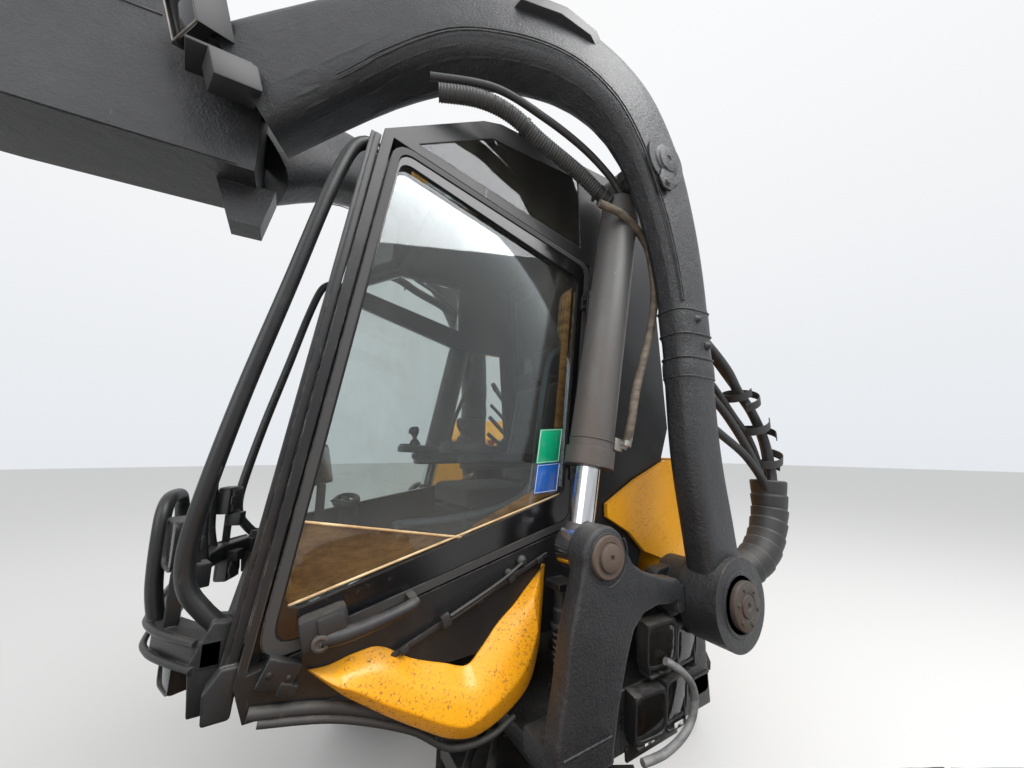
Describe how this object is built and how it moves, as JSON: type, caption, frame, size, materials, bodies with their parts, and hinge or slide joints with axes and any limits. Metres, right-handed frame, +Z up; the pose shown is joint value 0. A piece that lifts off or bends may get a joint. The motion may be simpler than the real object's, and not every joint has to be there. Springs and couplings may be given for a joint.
{
  "type": "eight-wheeled forestry harvester",
  "caption": "Articulated wheeled harvester whose cab slews with a yoke crane that straddles it, with a folding boom and a tilting harvester head.",
  "frame": {"origin": "on the ground, at the middle of the overall length and width", "axes": "+X forward along the crane and the cab, +Y left, +Z up; the frames and the wheels stand turned 60 degrees to the left under them"},
  "size_m": [10.6818, 7.824, 3.9312],
  "materials": {
    "frame_paint": "worn charcoal paint, semi-gloss",
    "arm_paint": "painted casting, dark charcoal, semi-gloss",
    "yellow_paint": "orange yellow paint, dusty gloss",
    "cab_paint": "black paint, satin",
    "cowl_plastic": "orange yellow moulding, dirt speckled",
    "black_trim": "matt black",
    "lamp_body": "black coated",
    "steel": "grey steel with rust",
    "rod_chrome": "hard chrome",
    "ring_steel": "oiled steel",
    "tyre_rubber": "dusty rubber",
    "glazing": "tinted",
    "seat_fabric": "dark woven"
  },
  "bodies": {
    "mid": {"mid_frame": "frame_paint", "slew_ring": "ring_steel"},
    "front": {"front_frame": "frame_paint", "front_bogies": "frame_paint", "nose_cover": "yellow_paint"},
    "rear": {"rear_frame": "frame_paint", "rear_bogies": "frame_paint", "engine": "ring_steel", "engine_hood": "yellow_paint", "engine_grilles": "black_trim", "exhaust_stack": "ring_steel"},
    "steer_barrel_f": {"steer_barrel_front": "steel"},
    "steer_rod_f": {"steer_rod_front": "rod_chrome"},
    "steer_barrel_r": {"steer_barrel_rear": "steel"},
    "steer_rod_r": {"steer_rod_rear": "rod_chrome"},
    "upper": {"crane_base": "arm_paint", "cab_mounts": "black_trim", "cab_shell": "cab_paint", "cab_glass": "glazing", "seat": "seat_fabric", "controls": "black_trim", "front_guard": "cab_paint", "side_cowls": "cowl_plastic", "rear_cover": "yellow_paint", "work_lamps": "lamp_body"},
    "door_leaf": {"door": "cab_paint", "door_glass": "glazing"},
    "boom": {"lift_arm": "arm_paint", "boom_lamps": "lamp_body"},
    "lift_barrel": {"lift_barrels": "steel"},
    "lift_rod": {"lift_rods": "rod_chrome"},
    "stick": {"stick_boom": "arm_paint"},
    "stick_cyl": {"stick_barrel": "steel"},
    "stick_piston": {"stick_rod": "rod_chrome"},
    "telescope": {"extension": "frame_paint"},
    "link": {"swing_link": "ring_steel"},
    "rotator_top": {"rotator": "ring_steel"},
    "fork": {"head_fork": "yellow_paint"},
    "head": {"head_frame": "yellow_paint"},
    "saw": {"saw_unit": "steel"},
    "roller_left": {"feed_roller_left": "ring_steel"},
    "roller_right": {"feed_roller_right": "ring_steel"},
    "knife_l": {"knife_left": "steel"},
    "knife_r": {"knife_right": "steel"},
    "wheel_front_left_1": {"tyre_front_left_1": "tyre_rubber", "rim_front_left_1": "yellow_paint"},
    "wheel_front_left_2": {"tyre_front_left_2": "tyre_rubber", "rim_front_left_2": "yellow_paint"},
    "wheel_front_right_1": {"tyre_front_right_1": "tyre_rubber", "rim_front_right_1": "yellow_paint"},
    "wheel_front_right_2": {"tyre_front_right_2": "tyre_rubber", "rim_front_right_2": "yellow_paint"},
    "wheel_rear_left_1": {"tyre_rear_left_1": "tyre_rubber", "rim_rear_left_1": "yellow_paint"},
    "wheel_rear_left_2": {"tyre_rear_left_2": "tyre_rubber", "rim_rear_left_2": "yellow_paint"},
    "wheel_rear_right_1": {"tyre_rear_right_1": "tyre_rubber", "rim_rear_right_1": "yellow_paint"},
    "wheel_rear_right_2": {"tyre_rear_right_2": "tyre_rubber", "rim_rear_right_2": "yellow_paint"}
  },
  "joints": [
    {"name": "steer_front", "type": "hinge", "parent": "mid", "child": "front", "pos_m": [-1.91504, 0.91578, 0.77], "axis": [0, 0, 1], "range_deg": [-18, 18]},
    {"name": "steer_rear", "type": "hinge", "parent": "mid", "child": "rear", "pos_m": [-2.79504, -0.60843, 0.77], "axis": [0, 0, 1], "range_deg": [-18, 18]},
    {"name": "steer_f_tilt", "type": "hinge", "parent": "mid", "child": "steer_barrel_f", "pos_m": [-2.43413, 0.77669, 0.76], "axis": [0, 0, 1], "range_deg": [-9.65, 9.65]},
    {"name": "steer_f_stroke", "type": "slide", "parent": "steer_barrel_f", "child": "steer_rod_f", "axis": [0.5, 0.866, 0], "range_m": [-0.1215, 0.1215]},
    {"name": "steer_r_tilt", "type": "hinge", "parent": "mid", "child": "steer_barrel_r", "pos_m": [-2.93413, -0.08934, 0.76], "axis": [0, 0, 1], "range_deg": [-9.65, 9.65]},
    {"name": "steer_r_stroke", "type": "slide", "parent": "steer_barrel_r", "child": "steer_rod_r", "axis": [-0.5, -0.866, 0], "range_m": [-0.1215, 0.1215]},
    {"name": "slew", "type": "hinge", "parent": "mid", "child": "upper", "pos_m": [-2.35504, 0.15368, 1.09], "axis": [0, 0, 1], "range_deg": [-80, 200]},
    {"name": "spin_front_left_1", "type": "hinge", "parent": "front", "child": "wheel_front_left_1", "pos_m": [-1.86633, 3.22015, 0.665], "axis": [-0.866, 0.5, 0], "continuous": true},
    {"name": "spin_front_left_2", "type": "hinge", "parent": "front", "child": "wheel_front_left_2", "pos_m": [-2.61633, 1.92111, 0.665], "axis": [-0.866, 0.5, 0], "continuous": true},
    {"name": "spin_front_right_1", "type": "hinge", "parent": "front", "child": "wheel_front_right_1", "pos_m": [0.05625, 2.11015, 0.665], "axis": [-0.866, 0.5, 0], "continuous": true},
    {"name": "spin_front_right_2", "type": "hinge", "parent": "front", "child": "wheel_front_right_2", "pos_m": [-0.69375, 0.81111, 0.665], "axis": [-0.866, 0.5, 0], "continuous": true},
    {"name": "spin_rear_left_1", "type": "hinge", "parent": "rear", "child": "wheel_rear_left_1", "pos_m": [-4.04133, -0.54706, 0.665], "axis": [-0.866, 0.5, 0], "continuous": true},
    {"name": "spin_rear_left_2", "type": "hinge", "parent": "rear", "child": "wheel_rear_left_2", "pos_m": [-4.79133, -1.8461, 0.665], "axis": [-0.866, 0.5, 0], "continuous": true},
    {"name": "spin_rear_right_1", "type": "hinge", "parent": "rear", "child": "wheel_rear_right_1", "pos_m": [-2.11875, -1.65706, 0.665], "axis": [-0.866, 0.5, 0], "continuous": true},
    {"name": "spin_rear_right_2", "type": "hinge", "parent": "rear", "child": "wheel_rear_right_2", "pos_m": [-2.86875, -2.9561, 0.665], "axis": [-0.866, 0.5, 0], "continuous": true},
    {"name": "door_hinge", "type": "hinge", "parent": "upper", "child": "door_leaf", "pos_m": [-2.15504, 0.87168, 1.778], "axis": [-0.1231, 0, 0.9924], "range_deg": [0, 24]},
    {"name": "boom_lift", "type": "hinge", "parent": "upper", "child": "boom", "pos_m": [-2.58504, 0.15368, 1.53], "axis": [0, -1, 0], "range_deg": [-8, 45]},
    {"name": "lift_cyl_tilt", "type": "hinge", "parent": "boom", "child": "lift_barrel", "pos_m": [-2.38504, 0.15368, 3.17], "axis": [0, -1, 0], "range_deg": [-1.88, 0.34]},
    {"name": "lift_cyl_stroke", "type": "slide", "parent": "lift_barrel", "child": "lift_rod", "axis": [0.2137, 0, -0.9769], "range_m": [-0.0767, 0.4312]},
    {"name": "stick_fold", "type": "hinge", "parent": "boom", "child": "stick", "pos_m": [1.89496, 0.15368, 3.33], "axis": [0, -1, 0], "range_deg": [-57, 15]},
    {"name": "stick_cyl_tilt", "type": "hinge", "parent": "boom", "child": "stick_cyl", "pos_m": [-0.55504, 0.15368, 3.86], "axis": [0, -1, 0], "range_deg": [-0.21, 0.81]},
    {"name": "stick_cyl_stroke", "type": "slide", "parent": "stick_cyl", "child": "stick_piston", "axis": [0.997, 0, -0.077], "range_m": [-0.0978, 0.3715]},
    {"name": "stick_reach", "type": "slide", "parent": "stick", "child": "telescope", "axis": [0.848, 0, -0.5299], "range_m": [0, 1.4]},
    {"name": "link_swing", "type": "hinge", "parent": "telescope", "child": "link", "pos_m": [4.54087, 0.15368, 1.67665], "axis": [0, -1, 0], "range_deg": [-45, 60]},
    {"name": "link_sway", "type": "hinge", "parent": "link", "child": "rotator_top", "pos_m": [4.54087, 0.15368, 1.46665], "axis": [1, 0, 0], "range_deg": [-25, 25]},
    {"name": "rotator_turn", "type": "hinge", "parent": "rotator_top", "child": "fork", "pos_m": [4.54087, 0.15368, 1.16665], "axis": [0, 0, 1], "range_deg": [-160, 160]},
    {"name": "head_tilt", "type": "hinge", "parent": "fork", "child": "head", "pos_m": [4.54087, 0.15368, 0.98665], "axis": [0, -1, 0], "range_deg": [0, 90]},
    {"name": "saw_swing", "type": "hinge", "parent": "head", "child": "saw", "pos_m": [3.69587, 0.28368, 0.59665], "axis": [-1, 0, 0], "range_deg": [0, 70]},
    {"name": "roller_left_spin", "type": "hinge", "parent": "head", "child": "roller_left", "pos_m": [4.50087, 0.42868, 0.49665], "axis": [0, 0, 1], "continuous": true},
    {"name": "knife_left_open", "type": "hinge", "parent": "head", "child": "knife_l", "pos_m": [5.17087, 0.31868, 0.65165], "axis": [1, 0, 0], "range_deg": [0, 45]},
    {"name": "roller_right_spin", "type": "hinge", "parent": "head", "child": "roller_right", "pos_m": [4.50087, -0.12132, 0.49665], "axis": [0, 0, 1], "continuous": true},
    {"name": "knife_right_open", "type": "hinge", "parent": "head", "child": "knife_r", "pos_m": [5.17087, -0.01132, 0.65165], "axis": [-1, 0, 0], "range_deg": [0, 45]}
  ],
  "couplings": [
    {"joint": "steer_f_tilt", "follows": "steer_front", "ratio": 0.52548},
    {"joint": "steer_f_stroke", "follows": "steer_front", "m_per_rad": -0.37903},
    {"joint": "steer_r_tilt", "follows": "steer_rear", "ratio": 0.52548},
    {"joint": "steer_r_stroke", "follows": "steer_rear", "m_per_rad": 0.37903},
    {"joint": "lift_cyl_tilt", "follows": "boom_lift", "ratio": -0.041013},
    {"joint": "lift_cyl_stroke", "follows": "boom_lift", "m_per_rad": 0.53821},
    {"joint": "stick_cyl_tilt", "follows": "stick_fold", "ratio": -0.013988},
    {"joint": "stick_cyl_stroke", "follows": "stick_fold", "m_per_rad": -0.36612}
  ]
}
